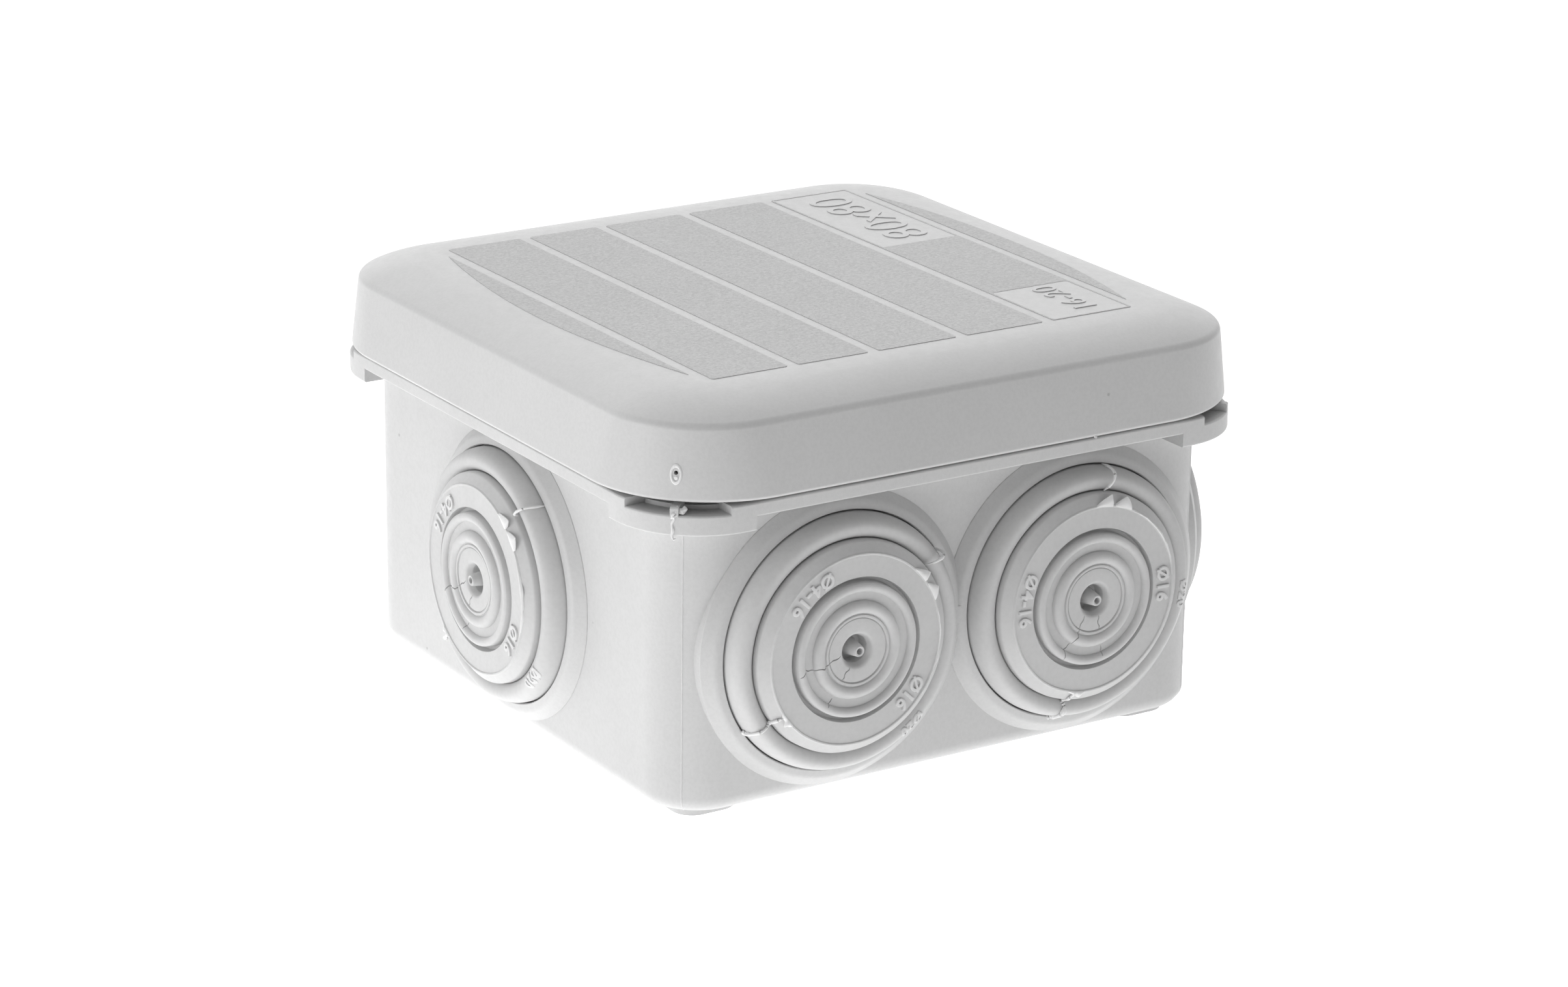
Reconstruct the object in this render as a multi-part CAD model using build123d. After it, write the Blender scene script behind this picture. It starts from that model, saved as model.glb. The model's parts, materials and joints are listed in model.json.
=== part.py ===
from build123d import *
import math
import os

os.makedirs("parts", exist_ok=True)

# Surface junction box, lid upward. Millimetres, +Z up.
# The origin is the centre of the back, in the plane of the four corner pads that meet the wall.

# --- Overall sizes ---
LID_HALF = 40.0            # half the lid's width at the skirt's lower edge
LID_BOTTOM = 37.4
RIDGE_HALF = 38.5          # half the lid's width where the skirt turns into the top
RIDGE_Z = 45.5
TOP_HALF = 30.0            # half the width of the lid's flat top
TOP_Z = 47.75
LID_CORNER = 14.5
RIDGE_CORNER = 11.4
TOP_CORNER = 7.0
RIDGE_ROUND = 1.1

BODY_HALF = 35.25
BODY_CORNER = 6.6
BODY_WALL = 1.9
INNER_CORNER = 4.0
BODY_FOOT = 1.0            # underside of the body, above the wall by the corner pads' thickness
BODY_FLOOR = 3.0
BODY_RIM = 42.9            # top of the wall, inside the lid
FOOT_ROUND = 1.8
FLOOR_ROUND = 1.2

# --- Flange below the lid, with a pry lip at each corner ---
FLANGE_HALF = 39.05
FLANGE_CORNER = 10.1
FLANGE_BOTTOM = 35.4
FLANGE_TOP = 36.95
LIP_START = 27.75          # the lip runs from here, on both sides, round the corner
LIP_BOTTOM = 33.85
SLOT_START = 30.75
SLOT_FLOOR = 36.05
WEB_WIDTH = 1.2            # rib across the middle of each slot

# --- Snap beads: four straight lengths on the wall and four inside the skirt ---
BEAD_LENGTH = 44.0
WALL_BEAD_OUT = 0.95
WALL_BEAD_LOW = 39.9
WALL_BEAD_HIGH = 41.1
SKIRT_BEAD_HALF = 36.45    # how near to the middle the skirt's beads reach
SKIRT_BEAD_LOW = 38.2
SKIRT_BEAD_HIGH = 39.2

# --- Corner pads and wall fixings ---
PAD_SIZE = 7.4
PAD_CORNER = 2.4
FIXING_AT = 28.5
PAD_AT = 28.7
FIXING_HOLE_R = 2.1
FIXING_BOSS_R = 3.8
FIXING_BOSS_TOP = 5.0

# --- Cable entries ---
ENTRY_Z = 18.6
ENTRY_AT = 15.6            # the paired entries are this far either side of a wall's middle
ENTRY_HOLE_R = 12.7
COLLAR_BASE_R = 16.75
COLLAR_BASE_H = 0.4
COLLAR_TOP_R = 15.6
COLLAR_HOLE_R = 14.6
COLLAR_H = 1.4
COLLAR_ROOT = 1.5          # how far a collar is let into the wall

# --- Inside the lid ---
SKIRT_HALF_LOW = 38.2
SKIRT_CORNER_LOW = 12.7
SKIRT_HALF_HIGH = 36.7
SKIRT_CORNER_HIGH = 9.6
CHANNEL_TOP = 44.7         # ceiling over the seal
RIB_OUTER = 33.0
RIB_INNER = 31.6
RIB_CORNER = 3.65
RIB_BOTTOM = 38.5
LID_CEILING = 45.6
SEAL_OUTER = 36.3
SEAL_INNER = 33.1
SEAL_BOTTOM = 43.0

# --- Terminal block ---
POLES = 3
PITCH = 9.0
CLAMP_AT = 7.0             # the clamps are this far either side of the block's middle
BLOCK_FOOT = 6.0
PLATE_TOP = 7.6
BLOCK_TOP = 23.0
BLOCK_HALF_Y = 13.0
BLOCK_END = 0.8            # wall beyond the last pole's share of the pitch
EAR_AT = 18.0
EAR_TIP = 21.5
EAR_HALF_WIDTH = 3.6
EAR_TOP = 9.6
BLOCK_BOSS_R = 3.2
PILOT_R = 1.5
PILOT_BOTTOM = 1.8
EAR_HOLE_R = 1.7

CAGE_X = 6.0
CAGE_Y = 6.5
CAGE_BOTTOM = 7.9
CAGE_TOP = 15.6
CAGE_SIDE = 1.0
CAGE_FLOOR = 1.0
CAGE_CROWN = 1.5
POCKET_GAP = 0.3           # all round a cage
POCKET_TOP = 19.3
WELL_R = 2.5
WELL_TOP = 21.8
ACCESS_R = 1.8
WIRE_HOLE_R = 2.1
WIRE_HOLE_Z = 10.9

BAR_X = 3.4
BAR_BOTTOM = 12.6
BAR_TOP = 13.8
BAR_REACH = 9.6            # half the bar's length
BAR_SLOT_GAP = 0.05

CLAMP_SCREW_R = 1.5
CLAMP_SCREW_TIP = 13.9
CLAMP_HEAD_R = 2.15
CLAMP_HEAD_BOTTOM = 19.5
CLAMP_HEAD_TOP = 21.5
CAGE_THREAD_R = 1.56
SLOT_WIDTH = 0.7
SLOT_DEPTH = 0.9
POINT_CHAMFER = 0.3

FIXING_SCREW_R = 1.44
FIXING_SCREW_TIP = 2.4
FIXING_HEAD_R = 2.7
FIXING_HEAD_H = 1.8

BEYOND = 1.0               # how far a cutting solid runs past what it cuts

CORNERS = [(1, 1), (-1, 1), (-1, -1), (1, -1)]
# Entry name, turn of its wall about Z from the front, and place along the wall
ENTRIES = [
    ("front_left", 0, -ENTRY_AT),
    ("front_right", 0, ENTRY_AT),
    ("right_front", 90, -ENTRY_AT),
    ("right_rear", 90, ENTRY_AT),
    ("rear_right", 180, -ENTRY_AT),
    ("rear_left", 180, ENTRY_AT),
    ("left", 270, 0.0),
]


def block(half, corner, low, high):
    """Upright square prism with rounded corners, centred on Z."""
    outline = RectangleRounded(2 * half, 2 * half, corner)
    return extrude(Plane.XY.offset(low) * outline, high - low)


def taper(half_low, corner_low, low, half_high, corner_high, high):
    """Rounded square prism whose sides lean from one size to another."""
    lower = Plane.XY.offset(low) * RectangleRounded(2 * half_low, 2 * half_low, corner_low)
    upper = Plane.XY.offset(high) * RectangleRounded(2 * half_high, 2 * half_high, corner_high)
    return loft([lower, upper], ruled=True)


def span(x0, x1, y0, y1, z0, z1):
    """Box between two corners."""
    centre = ((x0 + x1) / 2, (y0 + y1) / 2, (z0 + z1) / 2)
    return Pos(*centre) * Box(abs(x1 - x0), abs(y1 - y0), abs(z1 - z0))


def post(x, y, radius, low, high):
    """Upright cylinder between two heights."""
    return Pos(x, y, (low + high) / 2) * Cylinder(radius, high - low)


def corner_box(sx, sy, start, low, high):
    """Square box over one corner of the box, from start outward."""
    end = LID_HALF + BEYOND
    return span(sx * start, sx * end, sy * start, sy * end, low, high)


def on_wall(turn, along):
    """Place on a side wall's outer face: local Z points out of the wall and local X along it."""
    wall = Plane(origin=(along, -BODY_HALF, ENTRY_Z), x_dir=(1, 0, 0), z_dir=(0, -1, 0))
    return Rot(0, 0, turn) * wall.location


def write(name, shape):
    """Write one named piece."""
    export_step(shape, f"parts/{name}.step")


def collar(place):
    """Shallow cone round a cable entry, let slightly into the wall."""
    outline = Polyline(
        (0, -COLLAR_ROOT),
        (COLLAR_BASE_R, -COLLAR_ROOT),
        (COLLAR_BASE_R, COLLAR_BASE_H),
        (COLLAR_TOP_R, COLLAR_H),
        (0, COLLAR_H),
        close=True,
    )
    disc = revolve(Plane.XZ * make_face(outline), Axis.Z)
    return place * disc


def entry_hole(place):
    """Seat for a grommet's outer flange, and the hole through the wall for its neck."""
    seat = Pos(0, 0, COLLAR_H) * Cylinder(COLLAR_HOLE_R, 2 * COLLAR_H)
    through = Cylinder(ENTRY_HOLE_R, 2 * (BODY_WALL + BEYOND))
    return place * (seat + through)


def base_box():
    """Moulded box: walls, flange with pry lips, corner pads, collars, bosses and snap beads."""
    shell = block(BODY_HALF, BODY_CORNER, BODY_FOOT, BODY_RIM)
    shell = fillet(shell.edges().group_by(Axis.Z)[0], FOOT_ROUND)
    flange = block(FLANGE_HALF, FLANGE_CORNER, FLANGE_BOTTOM, FLANGE_TOP)
    lip_ring = block(FLANGE_HALF, FLANGE_CORNER, LIP_BOTTOM, FLANGE_TOP)
    for sx, sy in CORNERS:
        flange += lip_ring & corner_box(sx, sy, LIP_START, LIP_BOTTOM, FLANGE_TOP)
        web_reach = math.sqrt(2) * (FLANGE_HALF - FLANGE_CORNER) + FLANGE_CORNER - 0.6
        slot = corner_box(sx, sy, SLOT_START, SLOT_FLOOR, FLANGE_TOP + BEYOND)
        angle = math.degrees(math.atan2(sy, sx))
        web = Rot(0, 0, angle) * span(0, web_reach, -WEB_WIDTH / 2, WEB_WIDTH / 2, SLOT_FLOOR, FLANGE_TOP)
        flange -= slot - web
        shell += Pos(sx * PAD_AT, sy * PAD_AT, 0) * extrude(
            RectangleRounded(PAD_SIZE, PAD_SIZE, PAD_CORNER), BODY_FOOT + BEYOND
        )
    shell += flange
    places = [on_wall(turn, along) for _, turn, along in ENTRIES]
    for place in places:
        shell += collar(place)
    for turn in (0, 90, 180, 270):
        bead = span(
            -BEAD_LENGTH / 2, BEAD_LENGTH / 2,
            -BODY_HALF - WALL_BEAD_OUT, -BODY_HALF + BODY_WALL / 2,
            WALL_BEAD_LOW, WALL_BEAD_HIGH,
        )
        shell += Rot(0, 0, turn) * bead
    inner = block(BODY_HALF - BODY_WALL, INNER_CORNER, BODY_FLOOR, BODY_RIM + BEYOND)
    inner = fillet(inner.edges().group_by(Axis.Z)[0], FLOOR_ROUND)
    shell -= inner
    for sx, sy in CORNERS:
        at = (sx * FIXING_AT, sy * FIXING_AT)
        shell += post(*at, FIXING_BOSS_R, BODY_FLOOR - BEYOND, FIXING_BOSS_TOP)
        shell -= post(*at, FIXING_HOLE_R, -BEYOND, FIXING_BOSS_TOP + BEYOND)
    for side in (-1, 1):
        shell += post(side * EAR_AT, 0, BLOCK_BOSS_R, BODY_FLOOR - BEYOND, BLOCK_FOOT)
        shell -= post(side * EAR_AT, 0, PILOT_R, PILOT_BOTTOM, BLOCK_FOOT + BEYOND)
    for place in places:
        shell -= entry_hole(place)
    return shell


def lid():
    """Lid: leaning skirt, sloped shoulder, flat top, locating rib and snap beads inside."""
    shell = taper(LID_HALF, LID_CORNER, LID_BOTTOM, RIDGE_HALF, RIDGE_CORNER, RIDGE_Z)
    shell += taper(RIDGE_HALF, RIDGE_CORNER, RIDGE_Z, TOP_HALF, TOP_CORNER, TOP_Z)
    ridge = [e for e in shell.edges() if abs(e.center().Z - RIDGE_Z) < 0.01]
    shell = fillet(ridge, RIDGE_ROUND)
    shell -= taper(
        SKIRT_HALF_LOW, SKIRT_CORNER_LOW, LID_BOTTOM - 0.01, SKIRT_HALF_HIGH, SKIRT_CORNER_HIGH, CHANNEL_TOP
    )
    shell += block(RIB_OUTER, RIB_CORNER, RIB_BOTTOM, CHANNEL_TOP)
    shell -= block(RIB_INNER, RIB_CORNER - (RIB_OUTER - RIB_INNER), RIB_BOTTOM - BEYOND, LID_CEILING)
    for turn in (0, 90, 180, 270):
        bead = span(
            -BEAD_LENGTH / 2, BEAD_LENGTH / 2, -SKIRT_HALF_LOW - 0.3, -SKIRT_BEAD_HALF,
            SKIRT_BEAD_LOW, SKIRT_BEAD_HIGH,
        )
        shell += Rot(0, 0, turn) * bead
    return shell


def lid_seal():
    """Foam ring in the lid's channel, over the rim of the wall."""
    outer_corner = SKIRT_CORNER_HIGH - (SKIRT_HALF_HIGH - SEAL_OUTER)
    inner_corner = RIB_CORNER + SEAL_INNER - RIB_OUTER
    ring = block(SEAL_OUTER, outer_corner, SEAL_BOTTOM, CHANNEL_TOP)
    return ring - block(SEAL_INNER, inner_corner, SEAL_BOTTOM - BEYOND, CHANNEL_TOP + BEYOND)


def grommet():
    """Stepped soft grommet, closed by a membrane. Local Z points out of the wall from its outer face."""
    roll_out = ThreePointArc((14.45, 1.3), (14.1, 2.85), (13.15, 3.55))
    roll_in = ThreePointArc((13.15, 3.55), (12.5, 3.4), (12.0, 2.95))
    step = Polyline((12.0, 2.95), (11.92, 3.83), (10.72, 4.68), (8.1, 4.68), (8.0, 3.75), (7.62, 3.75), (7.52, 4.95))
    ring_1 = ThreePointArc((7.52, 4.95), (7.4, 5.12), (7.2, 5.15))
    dish = Polyline((7.2, 5.15), (6.3, 4.8), (5.5, 4.66), (5.3, 4.85))
    ring_2 = ThreePointArc((5.3, 4.85), (4.65, 5.3), (3.8, 4.9))
    disc = Polyline((3.8, 4.9), (3.7, 5.0), (1.7, 5.0), (1.6, 3.9), (0.9, 3.8), (0.6, 5.35), (0, 5.35))
    inside = Polyline((0, 5.35), (0, 3.1), (8.5, 3.1), (8.5, 3.6), (10.9, 3.6), (10.9, -3.1), (13.7, -3.1))
    neck = Polyline(
        (13.7, -3.1), (13.7, -BODY_WALL), (12.65, -BODY_WALL), (12.65, 0), (14.45, 0), (14.45, 1.3)
    )
    pieces = [inside, neck, roll_out, roll_in, step, ring_1, dish, ring_2, disc]
    outline = Wire([edge for piece in pieces for edge in piece.edges()])
    return revolve(Plane.XZ * Face(outline), Axis.Z)


def terminal_plate():
    """Flat plate that closes the terminal housing from below, with two screw ears."""
    half_x = POLES * PITCH / 2 + BLOCK_END
    plate = span(-half_x, half_x, -BLOCK_HALF_Y, BLOCK_HALF_Y, BLOCK_FOOT, PLATE_TOP)
    plate += ears(BLOCK_FOOT, PLATE_TOP)
    return plate - ear_holes()


def ears(low, high):
    """Round-ended tongue across the block, for a fixing screw at each end."""
    tongue = span(-EAR_AT, EAR_AT, -EAR_HALF_WIDTH, EAR_HALF_WIDTH, low, high)
    for side in (-1, 1):
        tongue += post(side * EAR_AT, 0, EAR_HALF_WIDTH, low, high)
    return tongue


def ear_holes():
    """Clearance holes for the two fixing screws."""
    return [post(side * EAR_AT, 0, EAR_HOLE_R, 0, BLOCK_TOP) for side in (-1, 1)]


def pole_places():
    """Name and X of each pole."""
    return [(n + 1, (n - (POLES - 1) / 2) * PITCH) for n in range(POLES)]


def clamp_places():
    """Name, X and Y of each clamp."""
    sides = (("front", -CLAMP_AT), ("rear", CLAMP_AT))
    return [(f"{n}_{side}", x, y) for n, x in pole_places() for side, y in sides]


def terminal_housing():
    """Insulating block: a pocket, screw well, access hole and wire hole for each clamp."""
    half_x = POLES * PITCH / 2 + BLOCK_END
    housing = span(-half_x, half_x, -BLOCK_HALF_Y, BLOCK_HALF_Y, PLATE_TOP, BLOCK_TOP)
    housing = fillet(housing.edges().filter_by(Axis.Z) + housing.edges().group_by(Axis.Z)[-1], 0.6)
    housing += ears(PLATE_TOP, EAR_TOP) - span(-half_x + 2, half_x - 2, -BEYOND, BEYOND, PLATE_TOP, EAR_TOP)
    housing -= ear_holes()
    pocket_x = CAGE_X / 2 + POCKET_GAP
    pocket_y = CAGE_Y / 2 + POCKET_GAP
    for _, x, y in clamp_places():
        housing -= span(x - pocket_x, x + pocket_x, y - pocket_y, y + pocket_y, PLATE_TOP - BEYOND, POCKET_TOP)
        housing -= post(x, y, WELL_R, POCKET_TOP - BEYOND, WELL_TOP)
        housing -= post(x, y, ACCESS_R, WELL_TOP - BEYOND, BLOCK_TOP + BEYOND)
        length = BLOCK_HALF_Y + BEYOND - CLAMP_AT
        middle = math.copysign(CLAMP_AT + length / 2, y)
        housing -= Pos(x, middle, WIRE_HOLE_Z) * Rot(90, 0, 0) * Cylinder(WIRE_HOLE_R, length)
    for _, x in pole_places():
        half = BAR_X / 2 + BAR_SLOT_GAP
        housing -= span(
            x - half, x + half, -CLAMP_AT, CLAMP_AT, BAR_BOTTOM - BAR_SLOT_GAP, BAR_TOP + BAR_SLOT_GAP
        )
    return housing


def current_bar(x):
    """Flat bar that joins a pole's two clamps."""
    bar = span(x - BAR_X / 2, x + BAR_X / 2, -BAR_REACH, BAR_REACH, BAR_BOTTOM, BAR_TOP)
    return chamfer(bar.edges().filter_by(Axis.X), 0.25)


def clamp_cage(x, y):
    """Box clamp that climbs its screw and grips the wire against the bar."""
    cage = span(x - CAGE_X / 2, x + CAGE_X / 2, y - CAGE_Y / 2, y + CAGE_Y / 2, CAGE_BOTTOM, CAGE_TOP)
    cage = fillet(cage.edges().filter_by(Axis.Y), 0.5)
    inner = CAGE_X / 2 - CAGE_SIDE
    cage -= span(
        x - inner, x + inner, y - CAGE_Y, y + CAGE_Y, CAGE_BOTTOM + CAGE_FLOOR, CAGE_TOP - CAGE_CROWN
    )
    return cage - post(x, y, CAGE_THREAD_R, CAGE_TOP - CAGE_CROWN - BEYOND, CAGE_TOP + BEYOND)


def clamp_screw(x, y):
    """Slotted clamp screw, held between the bar and the housing's top."""
    screw = post(x, y, CLAMP_SCREW_R, CLAMP_SCREW_TIP, CLAMP_HEAD_BOTTOM)
    screw = chamfer(screw.edges().group_by(Axis.Z)[0], POINT_CHAMFER)
    screw += post(x, y, CLAMP_HEAD_R, CLAMP_HEAD_BOTTOM, CLAMP_HEAD_TOP)
    return screw - screw_slot(x, y, CLAMP_HEAD_R, CLAMP_HEAD_TOP)


def screw_slot(x, y, head_r, top):
    """Driver slot across a screw head."""
    reach = head_r + BEYOND
    return span(x - reach, x + reach, y - SLOT_WIDTH / 2, y + SLOT_WIDTH / 2, top - SLOT_DEPTH, top + BEYOND)


def fixing_screw(x, y):
    """Pan-head screw through an ear into its boss."""
    head_top = EAR_TOP + FIXING_HEAD_H
    screw = post(x, y, FIXING_HEAD_R, EAR_TOP, head_top)
    screw = fillet(screw.edges().group_by(Axis.Z)[-1], 0.7)
    screw += post(x, y, FIXING_SCREW_R, FIXING_SCREW_TIP, EAR_TOP)
    return screw - screw_slot(x, y, FIXING_HEAD_R, head_top)


write("base_box", base_box())
write("lid", lid())
write("lid_seal", lid_seal())
for name, turn, along in ENTRIES:
    write(f"grommet_{name}", on_wall(turn, along) * grommet())
write("terminal_plate", terminal_plate())
write("terminal_housing", terminal_housing())
write("terminal_fixing_screws", Compound([fixing_screw(side * EAR_AT, 0) for side in (-1, 1)]))
for number, x in pole_places():
    write(f"current_bar_{number}", current_bar(x))
for name, x, y in clamp_places():
    write(f"clamp_cage_{name}", clamp_cage(x, y))
    write(f"clamp_screw_{name}", clamp_screw(x, y))
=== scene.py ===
import json
import math
import random
from math import asin, atan, atan2, cos, hypot, pi, radians, sin, sqrt, tan, tau

import bmesh
import bpy
from mathutils import Matrix, Vector, noise
from mathutils.geometry import delaunay_2d_cdt


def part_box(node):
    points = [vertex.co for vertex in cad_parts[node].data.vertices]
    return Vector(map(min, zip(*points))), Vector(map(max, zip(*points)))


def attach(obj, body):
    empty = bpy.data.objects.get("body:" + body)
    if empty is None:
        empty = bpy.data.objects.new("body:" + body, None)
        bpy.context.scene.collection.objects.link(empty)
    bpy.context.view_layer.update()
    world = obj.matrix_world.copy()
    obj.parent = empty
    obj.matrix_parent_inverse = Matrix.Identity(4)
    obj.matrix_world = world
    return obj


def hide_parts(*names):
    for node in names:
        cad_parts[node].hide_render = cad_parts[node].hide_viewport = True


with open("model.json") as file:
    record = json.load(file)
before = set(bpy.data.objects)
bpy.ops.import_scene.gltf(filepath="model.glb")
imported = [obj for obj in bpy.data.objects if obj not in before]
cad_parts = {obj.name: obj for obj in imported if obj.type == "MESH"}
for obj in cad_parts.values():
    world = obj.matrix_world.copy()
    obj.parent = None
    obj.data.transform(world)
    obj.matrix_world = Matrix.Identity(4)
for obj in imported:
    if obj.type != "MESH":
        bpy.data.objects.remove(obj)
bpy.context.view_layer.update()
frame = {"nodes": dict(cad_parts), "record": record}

# Shapes are worked out in millimetres, in the frame's own axes, and scaled to metres when a piece is made.
MM = 0.001


def mm_box(node):
    """Lowest and highest corner of a CAD node, in millimetres."""
    low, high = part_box(node)
    return low / MM, high / MM


LID_LOW, LID_HIGH = mm_box("lid")
BASE_HIGH = mm_box("base_box")[1]
SEAL_LOW, SEAL_HIGH = mm_box("lid_seal")

# --- Lid ---
LID_HALF = LID_HIGH.x
LID_CORNER = 14.5
LID_BOTTOM = LID_LOW.z
LID_TOP = LID_HIGH.z
RIDGE_HALF = LID_HALF - 1.5
RIDGE_CORNER = 11.4
RIDGE_Z = LID_TOP - 2.25
RIDGE_ROUND = 1.1
RIDGE_REACH = 1.2          # how far in from the ridge its round ends
TOP_HALF = 30.0
TOP_CORNER = 4.5
CROWN_EDGE = 32.3          # the top sheet, with its bands, reaches this far down the shoulder
SKIRT_THICKNESS = 1.8
RIB_HALF = 33.0
RIB_THICKNESS = 1.4
RIB_CORNER = 3.65
RIB_BOTTOM = LID_BOTTOM + 1.1
CEILING = LID_TOP - 2.15
SKIRT_BEAD = (36.45, LID_BOTTOM + 0.8, LID_BOTTOM + 1.8)  # inner reach, bottom and top of the snap bead
BEAD_LENGTH = 44.0
SINK = 0.6                 # how deep an added shape is sunk in its wall
GATE_Z = LID_BOTTOM + 2.95
LID_NIB = ((15.0, -39.75, 37.6), (15.1, -39.85, 37.35), (15.3, -39.8, 37.45))

# Light lines between the lid's textured bands, by their distance from the middle
BAND_LINES = (-27.95, -17.2, -6.95, 4.5, 16.0, 28.05)
LINE_WIDTH = 1.3
BAND_HALF_LENGTH = 29.2
CROWN_TOP = LID_TOP - 0.13  # the crown, with its light lines, is below the tips of the raised characters
BAND_RISE = 0.06
PLATE_RISE = 0.03
PLATE_MARGIN = 0.25        # between the edge of a plate and of its band
GLYPH_RISE = 0.125
SLIVER_REACH = 31.7        # furthest that the outer slivers bulge

# --- Base box ---
WALL_HALF = 35.25
WALL_CORNER = 6.6
WALL = 1.9
INNER_CORNER = 4.0
FOOT_Z = 1.0
FLOOR_Z = 3.0
RIM_Z = BASE_HIGH.z
FLANGE_HALF = 39.05
FLANGE_CORNER = 10.1
FLANGE_BOTTOM = 35.4
FLANGE_TOP = 36.95
LIP_START = 27.75
LIP_COLUMNS = 28.5         # from here the lip's columns are close together
LIP_BOTTOM = 33.85
SLOT_START = 30.75
SLOT_FLOOR = 36.05
WEB_HALF = 0.45
LEDGE = (36.7, 8.05, 36.5)  # low step along the back of each slot: half width, corner and top
EDGE_ROUND = 0.22
FOOT_ROUND = 1.8
FLOOR_ROUND = 1.2
SEAM_RINGS = 44            # levels of the wall at which the parting seam varies
WALL_BEAD = (0.95, 39.9, 41.1)  # stand-off, bottom and top
PAD_AT = 28.7
PAD_HALF = 3.7
PAD_CORNER = 2.4
FIXING_AT = 28.5
FIXING_HOLE = 2.1
FIXING_BOSS = (3.8, 5.0)   # radius and top, as in BLOCK_BOSS
BLOCK_BOSS_AT = 18.0
BLOCK_BOSS = (3.2, 6.0)
PILOT_HOLE = 1.5

# --- Cable entries ---
ENTRY_HOLE = 12.7
ROLL_R = 13.15             # radius of a grommet's roll, at its crest
COLLAR_OUTER = 16.75
COLLAR_INNER = 14.6
BRIDGE = (17.6, 19.6)      # height of the small blocks between paired collars
GROMMET_TURNS = {
    "front_left": 0.0, "front_right": 43.0, "left": 13.0, "right_front": 75.0,
    "right_rear": -20.0, "rear_right": 130.0, "rear_left": 28.0,
}

# Points round a full circle, along a square's side, round its corner, round a strand and between its points
STEPS = 160
SIDE_STEPS = 14
CORNER_STEPS = 28
STRAND_SIDES = 8
STRAND_STEPS = 6

# --- Light ---
FLOOR_TONE = 0.36
FLOOR_GLOW = 0.83
# Brighter spots of the light table: centre, reach at full glow, reach where it ends, and extra glow
FLOOR_SPOTS = (((0, 0), 50.0, 150.0, 0.15), ((-170.0, 10.0), 80.0, 280.0, 0.66))
KEY_WATTS = 1.9
KEY_FROM = (-1.0, 0.02, 0.1)
SKY_BASE = 0.03
# Soft bright areas of the sky: direction and strength
SKY_LOBES = (((0.1, 1, 0.1), 0.7), ((0, 0.35, 0.9), 1.2), ((0.7, 0.7, 0.3), 0.65), ((0, -0.6, 0.8), 0.1))

# --- mesh tools ---

def set_up(thing, **settings):
    """The same thing, with these properties set."""
    for key, value in settings.items():
        setattr(thing, key, value)
    return thing


def placed(name, data):
    """Object in the scene that shows a mesh, curve, light or camera."""
    holder = bpy.data.objects.new(name, data)
    bpy.context.scene.collection.objects.link(holder)
    return holder


def frozen(name, mesh):
    """Mesh data of a bmesh, which is freed."""
    data = bpy.data.meshes.new(name)
    mesh.to_mesh(data)
    mesh.free()
    return data


def scaled(name, mesh_mm, materials):
    """Object from a bmesh in millimetres."""
    mesh = frozen(name, mesh_mm)
    mesh.transform(Matrix.Scale(MM, 4))
    for look in materials:
        mesh.materials.append(look)
    return placed(name, mesh)


def new_piece(name, mesh_mm, materials):
    """Visible piece from a bmesh in millimetres."""
    piece = scaled(name, mesh_mm, materials)
    return piece


def evaluated(holder):
    """The bmesh that an object shows, with its modifiers. The object is removed."""
    graph = bpy.context.evaluated_depsgraph_get()
    mesh = bmesh.new()
    mesh.from_mesh(holder.evaluated_get(graph).to_mesh())
    bpy.data.objects.remove(holder)
    return mesh


def around(radius, angle):
    """Point at this distance and direction from the origin."""
    return radius * cos(angle), radius * sin(angle)


def arc_points(centre_x, centre_y, radius, start, end, steps):
    """Points of a circular arc, angles in radians."""
    spokes = [around(radius, start + (end - start) * i / steps) for i in range(steps + 1)]
    return [(centre_x + x, centre_y + y) for x, y in spokes]


def smooth(piece, degrees=32.0):
    """Smooth shading, with edges sharper than this angle kept crisp."""
    piece.data.shade_smooth()
    piece.data.set_sharp_from_angle(angle=radians(degrees))
    set_up(piece.modifiers.new("weighted", "WEIGHTED_NORMAL"), keep_sharp=True, weight=50)


def tidy(mesh):
    """Merge doubled points, drop faces with no area, close slits and point all faces outward."""
    bmesh.ops.remove_doubles(mesh, verts=mesh.verts, dist=1e-4)
    bmesh.ops.dissolve_degenerate(mesh, dist=1e-5, edges=mesh.edges)
    bmesh.ops.holes_fill(mesh, edges=[e for e in mesh.edges if len(e.link_faces) == 1], sides=6)
    bmesh.ops.recalc_face_normals(mesh, faces=mesh.faces)
    return mesh


def filleted(points, steps):
    """Path through (size, height, corner, round) points, with each corner replaced by its arc."""
    path = []
    last = len(points) - 1
    for i, (size, height, corner, radius) in enumerate(points):
        here = Vector((size, height, corner))
        if i in (0, last) or radius <= 0:
            path.append(here)
            continue
        before = Vector(points[i - 1][:3]) - here
        after = Vector(points[i + 1][:3]) - here
        a = before.xy.normalized()
        b = after.xy.normalized()
        half_angle = a.angle(b) / 2
        reach = radius / tan(half_angle)
        start = here + before * (reach / before.xy.length)
        end = here + after * (reach / after.xy.length)
        sweep = pi - 2 * half_angle
        half = sweep / 2
        scale = 1 / (sin(half) * tan(half)) if sweep > 1e-6 else 0
        for k in range(steps + 1):
            turn = sweep * k / steps - half
            lean = sin(turn) / (2 * sin(half))
            pull = (cos(turn) - cos(half)) / 2 * scale
            path.append(here + (0.5 - lean - pull) * (start - here) + (0.5 + lean - pull) * (end - here))
    return path


def section(points, steps):
    """The same in two dimensions, through (x, y, round) points."""
    return [(p.x, p.y) for p in filleted([(x, y, 0, radius) for x, y, radius in points], steps)]


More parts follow.
